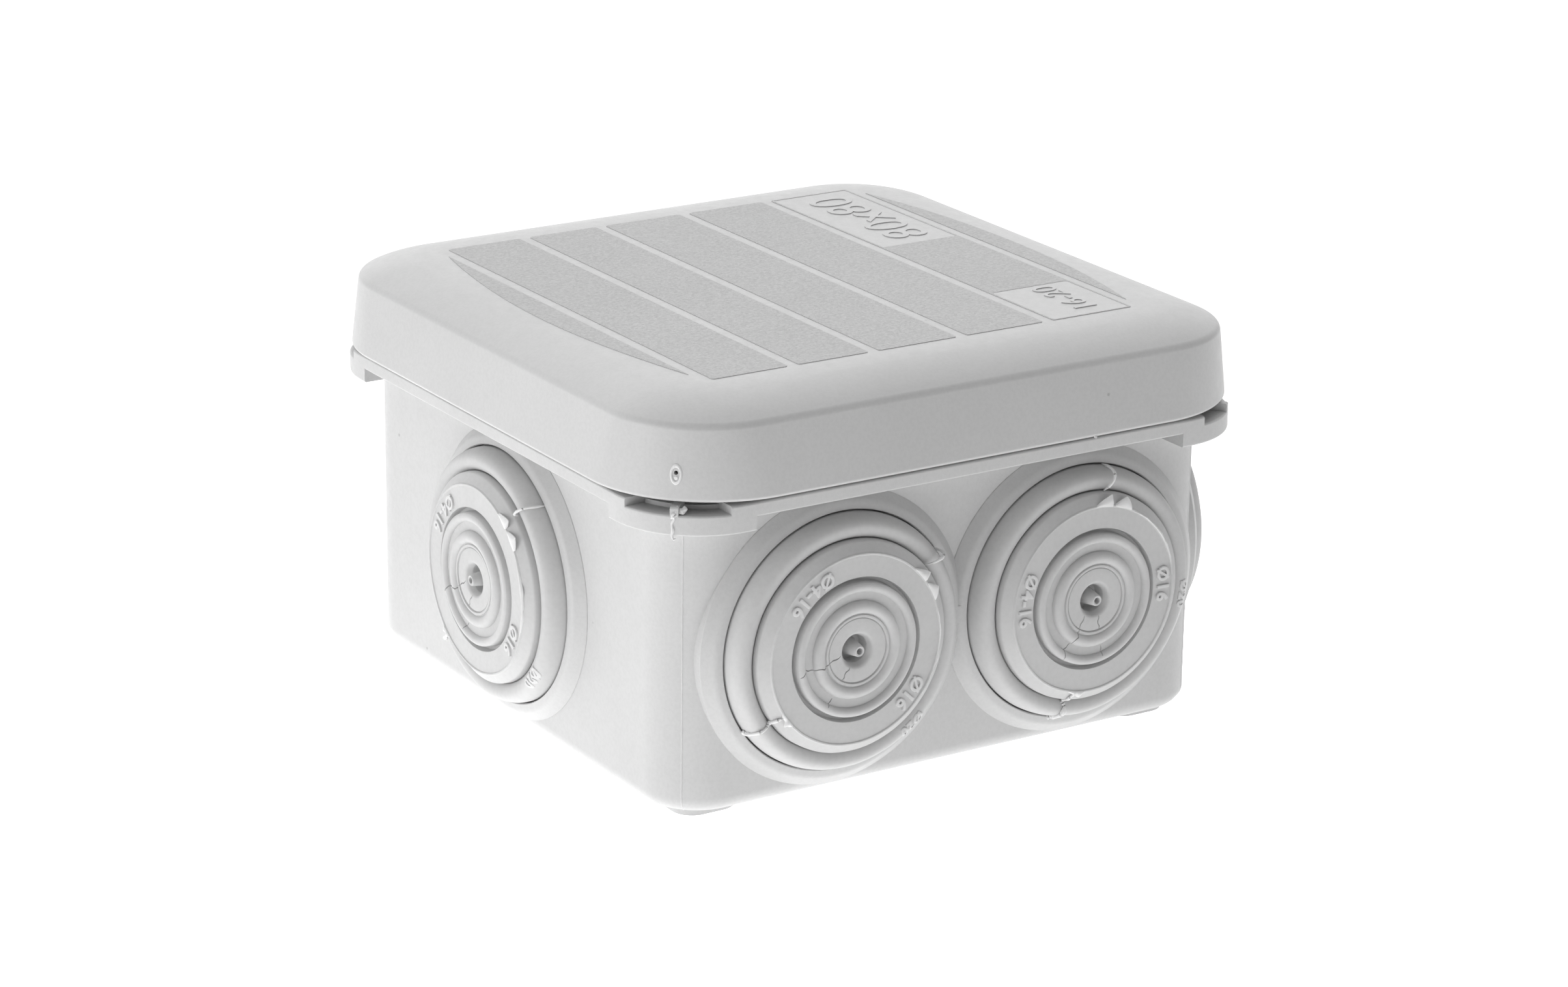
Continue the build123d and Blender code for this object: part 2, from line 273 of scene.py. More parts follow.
def rounded_square(half, corner, z):
    """Ring of points anticlockwise from above, with the same count at any size."""
    centre = half - corner
    ring = []
    for quarter in range(4):
        turn = Matrix.Rotation(quarter * pi / 2, 3, "Z")
        for i in range(SIDE_STEPS):
            ring.append(turn @ Vector((half, centre * (2 * i / SIDE_STEPS - 1), z)))
        for i in range(CORNER_STEPS):
            x, y = around(corner, pi / 2 * i / CORNER_STEPS)
            ring.append(turn @ Vector((centre + x, centre + y, z)))
    return ring


def skin(mesh, rings):
    """Faces between rings of points, each ring a loop. Returns the rings' vertices."""
    made = [[mesh.verts.new(p) for p in ring] for ring in rings]
    for low, high in zip(made, made[1:]):
        count = len(low)
        for i in range(count):
            j = (i + 1) % count
            mesh.faces.new((low[i], low[j], high[j], high[i]))
    return made


def close_ends(mesh, made):
    """Faces over the first and the last of a skin's rings."""
    mesh.faces.new(reversed(made[0]))
    mesh.faces.new(made[-1])
    return mesh


def capped(rings):
    """Closed mesh through rings of points."""
    mesh = bmesh.new()
    return close_ends(mesh, skin(mesh, rings))


def lathe(profile, steps=STEPS):
    """Solid of revolution about local Z from (radius, height) points, from axis to axis or a closed loop."""
    mesh = bmesh.new()
    rings = [[Vector((*around(r, tau * i / steps), h)) for i in range(steps)] for r, h in profile]
    if profile[0][0] > 1e-6:
        rings.append(rings[0])
    skin(mesh, rings)
    return tidy(mesh)


def prism(outline, low, high, bevel):
    """Upright solid from an outline of (x, y) points."""
    mesh = capped([[(x, y, z) for x, y in outline] for z in (low, high)])
    if bevel:
        level = [e for e in mesh.edges if abs(e.verts[0].co.z - e.verts[1].co.z) < 1e-6]
        bmesh.ops.bevel(mesh, geom=level, offset=bevel, segments=3, profile=0.5, affect="EDGES")
    return tidy(mesh)


def box_mesh(x0, x1, y0, y1, z0, z1, bevel):
    """Box between two corners, with rounded edges."""
    mesh = bmesh.new()
    bmesh.ops.create_cube(mesh, size=1.0)
    size = Matrix.Diagonal((x1 - x0, y1 - y0, z1 - z0, 1))
    middle = Matrix.Translation(((x0 + x1) / 2, (y0 + y1) / 2, (z0 + z1) / 2))
    mesh.transform(middle @ size)
    bmesh.ops.bevel(mesh, geom=mesh.edges[:], offset=bevel, segments=3, profile=0.5, affect="EDGES")
    return mesh


def disc(x, y, radius, low, high, bevel=0.0):
    """Upright round post."""
    return prism(arc_points(x, y, radius, 0, tau, 64)[:-1], low, high, bevel)


def smooth_path(points):
    """Curve through the points, in even shares between each two."""
    ends = [points[0] * 2 - points[1], *points, points[-1] * 2 - points[-2]]
    path = []
    for a, b, c, d in zip(ends, ends[1:], ends[2:], ends[3:]):
        for i in range(STRAND_STEPS):
            t = i / STRAND_STEPS
            square = (a * 2 - b * 5 + c * 4 - d) * (t * t / 2)
            path.append(b + (c - a) * (t / 2) + square + (b * 3 - a - c * 3 + d) * (t**3 / 2))
    return path + [points[-1]]


def strand(points, radius, seed):
    """Thin uneven string of flash through the points, thinner at its ends."""
    path = smooth_path([Vector(p) for p in points])
    last = len(path) - 1
    rings = []
    for i, at in enumerate(path):
        ahead = (path[min(i + 1, last)] - path[max(i - 1, 0)]).normalized()
        side = ahead.orthogonal().normalized()
        other = ahead.cross(side)
        share = i / last
        thick = radius * (1 + 0.7 * noise.noise(Vector((share * 6, seed * 3.1, 7.7))))
        thick *= min(1.0, 0.45 + 5 * share, 0.45 + 5 * (1 - share))
        spokes = [around(thick, tau * k / STRAND_SIDES) for k in range(STRAND_SIDES)]
        rings.append([at + side * x + other * y for x, y in spokes])
    return tidy(capped(rings))


def moved(mesh, matrix):
    """The same mesh, put in another place."""
    mesh.transform(matrix)
    return mesh


def marked(meshes, index):
    """The same meshes, with every face on this material slot."""
    for mesh in meshes:
        for face in mesh.faces:
            face.material_index = index
    return meshes


def joined(meshes):
    """One bmesh that holds several."""
    whole = bmesh.new()
    for mesh in meshes:
        part = frozen("part", mesh)
        whole.from_mesh(part)
        bpy.data.meshes.remove(part)
    return whole


def combine(mesh, tools, operation):
    """Boolean of a bmesh with the solids in tools, which don't touch each other."""
    shapes = [frozen("target", mesh), frozen("tool", joined(tools))]
    target, tool = (placed(data.name, data) for data in shapes)
    set_up(target.modifiers.new("combine", "BOOLEAN"), operation=operation, solver="EXACT", object=tool)
    result = evaluated(target)
    bpy.data.objects.remove(tool)
    for data in shapes:
        bpy.data.meshes.remove(data)
    # A cap that closes a drilled hole shares all its edges with two other faces.
    left_over = [f for f in result.faces if all(len(e.link_faces) > 2 for e in f.edges)]
    bmesh.ops.delete(result, geom=left_over, context="FACES_ONLY")
    return result


# --- materials ---

def material(name, roughness, specular=0.5):
    """New material, its node tree and its shader."""
    made = bpy.data.materials.new(name)
    made.use_nodes = True
    tree = made.node_tree
    shader = tree.nodes["Principled BSDF"]
    shader.inputs["Roughness"].default_value = roughness
    shader.inputs["Specular IOR Level"].default_value = specular
    return made, tree, shader


def add(tree, kind, **settings):
    """Node of this kind, with its properties and input values set."""
    node = tree.nodes.new(kind)
    for key, value in settings.items():
        if hasattr(node, key):
            setattr(node, key, value)
        else:
            node.inputs[key.replace("_", " ")].default_value = value
    return node


def object_texture(tree, kind, **settings):
    """Texture over the object's own coordinates, its scale in features per metre."""
    where = add(tree, "ShaderNodeTexCoord")
    texture = add(tree, kind, **settings)
    tree.links.new(where.outputs["Object"], texture.inputs["Vector"])
    return texture


def object_noise(tree, scale, detail, rough=0.5):
    """Noise of this scale, as an output of its strength."""
    texture = object_texture(tree, "ShaderNodeTexNoise", Scale=scale, Detail=detail, Roughness=rough)
    return texture.outputs["Fac"]


def ramp(tree, value, low, high, colour_low, colour_high):
    """Two-colour ramp over value."""
    node = add(tree, "ShaderNodeValToRGB")
    first, second = node.color_ramp.elements
    first.position = low
    second.position = high
    first.color = (*colour_low, 1)
    second.color = (*colour_high, 1)
    tree.links.new(value, node.inputs["Fac"])
    return node.outputs["Color"]


def multiplied(tree, a, b):
    """Product of two colours."""
    node = add(tree, "ShaderNodeMix", data_type="RGBA", blend_type="MULTIPLY")
    node.inputs[0].default_value = 1.0
    tree.links.new(a, node.inputs[6])
    tree.links.new(b, node.inputs[7])
    return node.outputs[2]


def finish(tree, shader, colour, heights, gloss=None):
    """A shader's colour, roughness and chain of bumps, the bumps as (value, strength, distance) triples."""
    tree.links.new(colour, shader.inputs["Base Color"])
    if gloss:
        tree.links.new(gloss, shader.inputs["Roughness"])
    normal = None
    for value, strength, distance in heights:
        bump = add(tree, "ShaderNodeBump", Strength=strength, Distance=distance)
        tree.links.new(value, bump.inputs["Height"])
        if normal:
            tree.links.new(normal, bump.inputs["Normal"])
        normal = bump.outputs["Normal"]
    tree.links.new(normal, shader.inputs["Normal"])


def greys(tree, value, low, high, dark, light):
    """Ramp over value between two neutral greys."""
    return ramp(tree, value, low, high, (dark,) * 3, (light,) * 3)


def mottle(tree, scale, detail, dark, light):
    """Soft noise between two neutral greys."""
    return greys(tree, object_noise(tree, scale, detail), 0.3, 0.7, dark, light)


def plastic(name, level, roughness):
    """Satin moulded thermoplastic: faint flow clouds, fine specks and a spark-eroded skin."""
    made, tree, shader = material(name, roughness)
    clouds = mottle(tree, 55, 3, level * 0.975, level * 1.02)
    specks = greys(tree, object_noise(tree, 2600, 2), 0.36, 0.6, 0.965, 1.0)
    dusted = multiplied(tree, clouds, specks)
    flecks = object_texture(tree, "ShaderNodeTexVoronoi", Scale=130.0)
    dots = greys(tree, flecks.outputs["Distance"], 0.018, 0.03, 0.72, 1.0)
    gloss = mottle(tree, 900, 2, roughness - 0.05, roughness + 0.06)
    grain, waves = object_noise(tree, 4200, 2), object_noise(tree, 260, 2)
    bumps = [(grain, 0.35, 0.00003), (waves, 0.25, 0.00008)]
    finish(tree, shader, multiplied(tree, dusted, dots), bumps, gloss)
    return made


def band_texture(name, level):
    """Coarse sparkle-eroded finish of the lid's bands."""
    made, tree, shader = material(name, 0.72)
    clouds = mottle(tree, 60, 3, level * 0.98, level * 1.02)
    grains = greys(tree, object_noise(tree, 3200, 3, 0.6), 0.35, 0.65, 0.86, 1.06)
    coarse, fine = object_noise(tree, 2300, 3, 0.7), object_noise(tree, 5200, 2)
    bumps = [(coarse, 0.9, 0.00012), (fine, 0.5, 0.00005)]
    finish(tree, shader, multiplied(tree, clouds, grains), bumps)
    return made


def elastomer(name, level):
    """Matt soft thermoplastic elastomer with a faintly mottled skin."""
    made, tree, shader = material(name, 0.56, 0.4)
    clouds = mottle(tree, 90, 3, level * 0.97, level * 1.02)
    specks = greys(tree, object_noise(tree, 1800, 3), 0.35, 0.6, 0.965, 1.0)
    gloss = mottle(tree, 500, 3, 0.5, 0.62)
    grain, waves = object_noise(tree, 2600, 3), object_noise(tree, 420, 2)
    bumps = [(grain, 0.35, 0.00004), (waves, 0.3, 0.00010)]
    finish(tree, shader, multiplied(tree, clouds, specks), bumps, gloss)
    return made


def foam(name):
    """Closed-cell foam."""
    made, tree, shader = material(name, 0.85, 0.2)
    distance = object_texture(tree, "ShaderNodeTexVoronoi", Scale=2400.0).outputs["Distance"]
    finish(tree, shader, greys(tree, distance, 0.1, 0.7, 0.05, 0.16), [(distance, 0.8, 0.00015)])
    return made


def metal(name, colour, roughness, stretch):
    """Plated or drawn metal with fine marks along one axis."""
    made, tree, shader = material(name, roughness)
    shader.inputs["Metallic"].default_value = 1.0
    where = add(tree, "ShaderNodeTexCoord")
    along = add(tree, "ShaderNodeMapping")
    along.inputs["Scale"].default_value = stretch
    texture = add(tree, "ShaderNodeTexNoise", Scale=1500.0, Detail=3.0)
    tree.links.new(where.outputs["Object"], along.inputs["Vector"])
    tree.links.new(along.outputs["Vector"], texture.inputs["Vector"])
    marks = texture.outputs["Fac"]
    dark = tuple(0.82 * c for c in colour)
    gloss = greys(tree, marks, 0.3, 0.7, roughness - 0.08, roughness + 0.1)
    finish(tree, shader, ramp(tree, marks, 0.3, 0.7, dark, colour), [(marks, 0.2, 0.00002)], gloss)
    return made


BOX_GREY = plastic("box_plastic", 0.56, 0.44)
LID_GREY = plastic("lid_plastic", 0.575, 0.38)
BAND_GREY = band_texture("lid_band_texture", 0.575)
GROMMET_GREY = elastomer("grommet_elastomer", 0.565)
# Lighter grey of thin flash; on the box's parting seam it also serves as a painted highlight.
FLASH_AND_SEAM_HIGHLIGHT_GREY = elastomer("thin_flash_and_seam_highlight", 0.76)
# The grommets' raised characters are moulded in the same elastomer; their lighter grey is a painted
# highlight on the letters.
PAINTED_HIGHLIGHT_MARK_GREY = elastomer("raised_mark_painted_highlight", 0.65)
SEAL_FOAM = foam("seal_closed_cell_foam")
TERMINAL_WHITE = plastic("terminal_polyamide", 0.78, 0.42)
BRASS = metal("drawn_brass", (0.80, 0.60, 0.28), 0.30, (1.0, 0.08, 1.0))
ZINC_STEEL = metal("zinc_plated_steel", (0.66, 0.67, 0.69), 0.34, (1.0, 1.0, 0.3))


# --- lid ---

SHOULDER_ANGLE = 2 * atan((CROWN_TOP - RIDGE_Z) / (RIDGE_HALF - TOP_HALF))
SHOULDER_RADIUS = (RIDGE_HALF - TOP_HALF) / sin(SHOULDER_ANGLE)


def shoulder(half):
    """Corner radius and height of the lid's contour of this half width, on its flat top or its shoulder."""
    share = (half - TOP_HALF) / (RIDGE_HALF - TOP_HALF)
    corner = TOP_CORNER + share * (RIDGE_CORNER - TOP_CORNER)
    run = max(0.0, half - TOP_HALF)
    height = CROWN_TOP - SHOULDER_RADIUS + sqrt(SHOULDER_RADIUS**2 - run**2)
    return corner, height


def contour_through(x, y):
    """Half width of the lid's contour that passes through a point."""
    low, high = 0.0, RIDGE_HALF
    for _ in range(24):
        half = (low + high) / 2
        corner = max(0.5, shoulder(half)[0])
        over_x = abs(x) - (half - corner)
        over_y = abs(y) - (half - corner)
        outside = hypot(max(over_x, 0), max(over_y, 0)) + min(max(over_x, over_y), 0) - corner
        if outside > 0:
            low = half
        else:
            high = half
    return high


def rectangle(x0, x1, y0, y1, corner=0.35, steps=4):
    """Outline of a rectangle with small round corners."""
    points = []
    for cx, cy, start in (
        (x1 - corner, y1 - corner, 0), (x0 + corner, y1 - corner, 1),
        (x0 + corner, y0 + corner, 2), (x1 - corner, y0 + corner, 3),
    ):
        points += arc_points(cx, cy, corner, start * pi / 2, (start + 1) * pi / 2, steps)
    return points


def sliver(side):
    """Thin crescent outside the last light line."""
    inner = abs(BAND_LINES[0]) + LINE_WIDTH / 2
    half_chord = 26.5
    bulge = SLIVER_REACH - inner
    radius = (half_chord**2 + bulge**2) / (2 * bulge)
    reach = asin(half_chord / radius)
    arc = arc_points(inner + bulge - radius, 0, radius, -reach, reach, 48)
    line = [(inner, half_chord * (1 - 2 * i / 24)) for i in range(1, 24)]
    return [(side * x, y) for x, y in arc + line]


def lettering(text, **settings):
    """Generic characters, as a font curve with these settings shows them."""
    curve = bpy.data.curves.new("marking", "FONT")
    return evaluated(placed("marking", set_up(curve, body=text, **settings)))


def glyph_loops(text, height, centre):
    """Outlines of generic characters, reading along +Y with their tops towards -X."""
    outline = lettering(text, size=1.0, offset=0.012, resolution_u=5, fill_mode="NONE")
    bmesh.ops.remove_doubles(outline, verts=outline.verts, dist=1e-5)
    loops = []
    left = set(outline.edges)
    while left:
        edge = left.pop()
        first, at = edge.verts
        loop = [first.co.xy.copy(), at.co.xy.copy()]
        while at != first:
            edge = next(e for e in at.link_edges if e in left)
            left.discard(edge)
            at = edge.other_vert(at)
            loop.append(at.co.xy.copy())
        loops.append(loop[:-1])
    outline.free()
    xs, ys = zip(*(p for loop in loops for p in loop))
    scale = height / (max(ys) - min(ys))
    middle = Vector(((min(xs) + max(xs)) / 2, (min(ys) + max(ys)) / 2))
    return [
        [(centre[0] - scale * (p - middle).y, centre[1] + scale * (p - middle).x) for p in loop]
        for loop in loops
    ]


def inside(point, loop):
    """Whether a point is inside a loop."""
    x, y = point
    hit = False
    for (x0, y0), (x1, y1) in zip(loop, loop[1:] + loop[:1]):
        if (y0 > y) != (y1 > y) and x < x0 + (y - y0) / (y1 - y0) * (x1 - x0):
            hit = not hit
    return hit


def lid_top(mesh):
    """The top sheet with its raised bands and slivers, and the plates with raised characters."""
    bands = [
        rectangle(a + LINE_WIDTH / 2, b - LINE_WIDTH / 2, -BAND_HALF_LENGTH, BAND_HALF_LENGTH)
        for a, b in zip(BAND_LINES, BAND_LINES[1:])
    ]
    left = BAND_LINES[4] + LINE_WIDTH / 2 + PLATE_MARGIN
    right = BAND_LINES[5] - LINE_WIDTH / 2 - PLATE_MARGIN
    far = BAND_HALF_LENGTH - PLATE_MARGIN
    plates = [rectangle(left, right, 5.0, far), rectangle(left, right, -far, -17.0)]
    glyphs = glyph_loops("80x80", 5.6, (22.6, 17.0)) + glyph_loops("16-20", 3.0, (22.9, -22.3))
    proud = bands + [sliver(-1), sliver(1)]
    rings = [
        [p.xy for p in rounded_square(half, shoulder(half)[0], 0)]
        for half in (CROWN_EDGE, (CROWN_EDGE + TOP_HALF) / 2, TOP_HALF)
    ]
    points, edges = [], []
    for loop in rings + proud + plates + glyphs:
        first = len(points)
        points += [Vector(p) for p in loop]
        edges += [(first + i, first + (i + 1) % len(loop)) for i in range(len(loop))]
    flat, _, faces = delaunay_2d_cdt(points, edges, [], 1, 1e-5)[:3]
    surface = [shoulder(contour_through(*p))[1] for p in flat]

    def rise(face):
        middle = sum((flat[i] for i in face), Vector((0, 0))) / len(face)
        if any(inside(middle, loop) for loop in plates):
            lettered = sum(inside(middle, loop) for loop in glyphs) % 2
            return GLYPH_RISE if lettered else PLATE_RISE
        return BAND_RISE if any(inside(middle, loop) for loop in proud) else 0.0

    made = {}

    def vertex(i, up):
        if (i, up) not in made:
            made[i, up] = mesh.verts.new((*flat[i], surface[i] + up))
        return made[i, up]

    sides = {}
    for face in faces:
        up = rise(face)
        top = mesh.faces.new([vertex(i, up) for i in face])
        top.material_index = 1 if up == BAND_RISE else 0
        for a, b in zip(face, face[1:] + face[:1]):
            sides.setdefault(frozenset((a, b)), []).append((a, b, up))
    for pair in sides.values():
        if len(pair) == 2 and pair[0][2] != pair[1][2]:
            a, b, up = pair[0]
            other = pair[1][2]
            mesh.faces.new((vertex(a, up), vertex(a, other), vertex(b, other), vertex(b, up)))


def lid_shell():
    """Lid from its ceiling, round the rib, the channel and the skirt, to the edge of the top sheet."""
    slope = SKIRT_THICKNESS
    sheet_edge = RIDGE_HALF - RIDGE_REACH
    path = filleted([
        (RIB_HALF - RIB_THICKNESS, CEILING, RIB_CORNER - RIB_THICKNESS, 0),
        (RIB_HALF - RIB_THICKNESS, RIB_BOTTOM, RIB_CORNER - RIB_THICKNESS, 0.3),
        (RIB_HALF, RIB_BOTTOM, RIB_CORNER, 0.3),
        (RIB_HALF, SEAL_HIGH.z, RIB_CORNER, 0),
        (RIDGE_HALF - slope, SEAL_HIGH.z, RIDGE_CORNER - slope, 0.3),
        (LID_HALF - slope, LID_BOTTOM, LID_CORNER - slope, 0.25),
        (LID_HALF, LID_BOTTOM, LID_CORNER, 0.35),
        (RIDGE_HALF, RIDGE_Z, RIDGE_CORNER, RIDGE_ROUND),
        (sheet_edge, shoulder(sheet_edge)[1], shoulder(sheet_edge)[0], 0),
    ], 8)
    count = 14
    for i in range(1, count + 1):
        half = sheet_edge + (CROWN_EDGE - RIDGE_HALF + RIDGE_REACH) * i / count
        corner, height = shoulder(half)
        path.append(Vector((half, height, corner)))
    mesh = bmesh.new()
    made = skin(mesh, [rounded_square(p.x, p.z, p.y) for p in path])
    mesh.faces.new(reversed(made[0]))
    lid_top(mesh)
    return tidy(mesh)


def snap_beads(near, low, high, far):
    """Four straight beads, from near to far of the middle."""
    beads = []
    for quarter in range(4):
        bead = box_mesh(-BEAD_LENGTH / 2, BEAD_LENGTH / 2, near, far, low, high, 0.3)
        beads.append(moved(bead, Matrix.Rotation(quarter * pi / 2, 4, "Z")))
    return beads


def gate_place():
    """Frame on the skirt's near left corner, at the mould's gate: Z out of the skirt, Y up it."""
    share = (GATE_Z - LID_BOTTOM) / (RIDGE_Z - LID_BOTTOM)
    half = LID_HALF + share * (RIDGE_HALF - LID_HALF)
    corner = LID_CORNER + share * (RIDGE_CORNER - LID_CORNER)
    reach = sqrt(2) * (half - corner) + corner
    out = Vector((-1, -1, 0.15)).normalized()
    along = Vector((0, 0, 1)).cross(out).normalized()
    place = Matrix((along, out.cross(along), out)).transposed().to_4x4()
    place.translation = Vector((-1, -1, 0)).normalized() * reach + Vector((0, 0, GATE_Z))
    return place


def gate_scar():
    """Oval rim and the stub inside it, and the pit that they stand in."""
    rim = lathe([(0.40, -0.4), (0.66, -0.4), (0.64, 0.04), (0.56, 0.13), (0.47, 0.13), (0.41, 0.04)], 40)
    rim.transform(gate_place() @ Matrix.Diagonal((1, 1.75, 1, 1)))
    stub = lathe([(0, -0.6), (0.27, -0.6), (0.26, 0.0), (0.15, 0.14), (0, 0.16)], 28)
    stub.transform(gate_place() @ Matrix.Translation((0.04, -0.36, 0)))
    pit = lathe([(0, -0.9), (0.19, -0.9), (0.22, -0.1), (0.3, 1.0), (0, 1.0)], 28)
    pit.transform(gate_place() @ Matrix.Translation((0, 0.16, 0)))
    return [rim, stub], pit


def make_lid():
    near, low, high = SKIRT_BEAD
    shell = combine(lid_shell(), snap_beads(near, low, high, LID_HALF - SKIRT_THICKNESS + SINK), "UNION")
    scar, pit = gate_scar()
    shell = combine(shell, [pit], "DIFFERENCE")
    shell = joined([shell] + marked([strand(LID_NIB, 0.1, 5)] + scar, 2))
    piece = new_piece("lid_shell", shell, (LID_GREY, BAND_GREY, FLASH_AND_SEAM_HIGHLIGHT_GREY))
    smooth(piece)
    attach(piece, "lid")
    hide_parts("lid")


def make_seal():
    outer = SEAL_HIGH.x
    corner = RIDGE_CORNER - SKIRT_THICKNESS - 0.4
    inner_half, inner_corner = RIB_HALF + 0.1, RIB_CORNER + 0.1
    path = filleted([
        (inner_half, SEAL_HIGH.z, inner_corner, 0),
        (inner_half, SEAL_LOW.z, inner_corner, 0.3),
        (outer, SEAL_LOW.z, corner, 0.3),
        (outer, SEAL_HIGH.z, corner, 0),
        (inner_half, SEAL_HIGH.z, inner_corner, 0),
    ], 4)
    mesh = bmesh.new()
    skin(mesh, [rounded_square(p.x, p.z, p.y) for p in path])
    piece = new_piece("seal_ring", tidy(mesh), (SEAL_FOAM,))
    smooth(piece)
    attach(piece, "lid")
    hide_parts("lid_seal")


# --- base box ---

def wall_columns():
    """Columns of one eighth of the box, from a side's middle to its corner: kind, value, lip and slot."""
    columns = [("level", v, False, False) for v in (0, 7, 14, 21, LIP_START)]
    columns.append(("level", LIP_START, True, False))
    columns += [("level", LIP_COLUMNS + (SLOT_START - LIP_COLUMNS) * i / 12, True, False) for i in range(13)]
    columns += [("bend", i / 16, True, True) for i in range(17)]
    columns += [("seam", v, True, False) for v in (WEB_HALF, 0.25, 0.06, 0.0)]
    return columns


def column_point(column, half, corner):
    """Where a column meets the rounded square of this size, in the first eighth."""
    kind, value = column[:2]
    centre = half - corner
    if kind == "level":
        over = max(0.0, value - centre)
        return centre + sqrt(corner**2 - over**2), value
    if kind == "bend":
        start = asin(max(0.0, SLOT_START - centre) / corner)
        end = pi / 4 - asin(WEB_HALF / corner)
        angle = start + value * (end - start)
    else:
        angle = pi / 4 - asin(value / corner)
    return centre + corner * cos(angle), centre + corner * sin(angle)


def base_shell():
    """Box wall with its floor, flange, corner lips, slots and fine parting seams, as one skin."""
    eighth = wall_columns()
    inner_half = WALL_HALF - WALL
    low_path = filleted([
        (WALL_HALF - FOOT_ROUND, FOOT_Z, WALL_CORNER - FOOT_ROUND, 0),
        (WALL_HALF, FOOT_Z, WALL_CORNER, FOOT_ROUND),
        (WALL_HALF, FOOT_Z + 4.0, WALL_CORNER, 0),
    ], 8)
    rings = [(p.x, p.z, p.y, None) for p in low_path]
    seam_low, seam_high = FOOT_Z + 4.0, LIP_BOTTOM - 0.3
    levels = [seam_low + (seam_high - seam_low) * i / SEAM_RINGS for i in range(1, SEAM_RINGS + 1)]
    rings += [(WALL_HALF, WALL_CORNER, level, None) for level in levels]
    rings.append((WALL_HALF, WALL_CORNER, 0, "bottom"))
    for part in ("bottom", "top"):
        for i in range(5):
            bulge, other = (EDGE_ROUND * (1 - x) for x in around(1, pi / 2 * i / 4))
            inset, rise = (bulge, -other) if part == "top" else (other, bulge)
            rings.append((FLANGE_HALF - inset, FLANGE_CORNER - inset, rise, part))
    ledge_half, ledge_corner, ledge_top = LEDGE
    rings += [
        (ledge_half, ledge_corner, 0, "top"),
        (ledge_half - 0.08, ledge_corner - 0.08, ledge_top - SLOT_FLOOR, "ledge"),
        (WALL_HALF, WALL_CORNER, ledge_top - SLOT_FLOOR, "ledge"),
    ]
    high_path = filleted([
        (WALL_HALF, FLANGE_TOP + 0.5, WALL_CORNER, 0),
        (WALL_HALF, RIM_Z, WALL_CORNER, 0.5),
        (inner_half, RIM_Z, INNER_CORNER, 0.5),
        (inner_half, FLOOR_Z, INNER_CORNER, FLOOR_ROUND),
        (inner_half - FLOOR_ROUND, FLOOR_Z, INNER_CORNER - FLOOR_ROUND, 0),
    ], 6)
    rings += [(p.x, p.z, p.y, None) for p in high_path]
    mesh = bmesh.new()
    loops = []
    on_seam = set()
    for half, corner, z, part in rings:
        loop = []
        for quarter in range(4):
            turn = Matrix.Rotation(quarter * pi / 2, 3, "Z")
            for mirror in (-1, 1):
                for column in (reversed(eighth[1:]) if mirror < 0 else eighth[:-1]):
                    x, y = column_point(column, half, corner)
                    level = z
                    if part == "bottom":
                        level += LIP_BOTTOM if column[2] else FLANGE_BOTTOM
                    elif part == "top":
                        level += SLOT_FLOOR if column[3] else FLANGE_TOP
                    elif part == "ledge":
                        level = SLOT_FLOOR + z if column[3] else FLANGE_TOP
                    point = turn @ Vector((x, mirror * y, level))
                    if column[:2] == ("seam", 0.0) and part is None and FOOT_Z < z < LIP_BOTTOM:
                        point += seam_bulge(point)
                        on_seam.add((len(loops), len(loop)))
                    loop.append(point)
        loops.append(loop)
    made = skin(mesh, loops)
    seam = {made[i][j] for i, j in on_seam}
    # The faces round the parting seam take the lighter flash grey on slot 1: the seam is thin flash, and the
    # lighter grey also paints the highlight along its crest.
    for face in mesh.faces:
        if any(v in seam for v in face.verts):
            face.material_index = 1
    return tidy(close_ends(mesh, made))


def seam_bulge(point):
    """How far the mould's parting seam stands off a corner, with small ragged nicks."""
    ragged = noise.noise(Vector((point.x, point.y, point.z * 1.7)))
    height = 0.10 + 0.07 * max(0.0, ragged)
    return Vector((point.x, point.y, 0)).normalized() * height


def collar(place):
    """Raised ring round a cable entry, with a rounded conical shoulder."""
    path = section([
        (COLLAR_INNER, -1.5, 0),
        (COLLAR_OUTER, -1.5, 0),
        (COLLAR_OUTER, 0.08, 0.15),
        (COLLAR_INNER + 0.95, 1.25, 1.1),
        (COLLAR_INNER + 0.1, 1.4, 0.1),
        (COLLAR_INNER, 1.2, 0.06),
        (COLLAR_INNER, -1.5, 0),
    ], 7)
    return moved(lathe(path[:-1]), place)


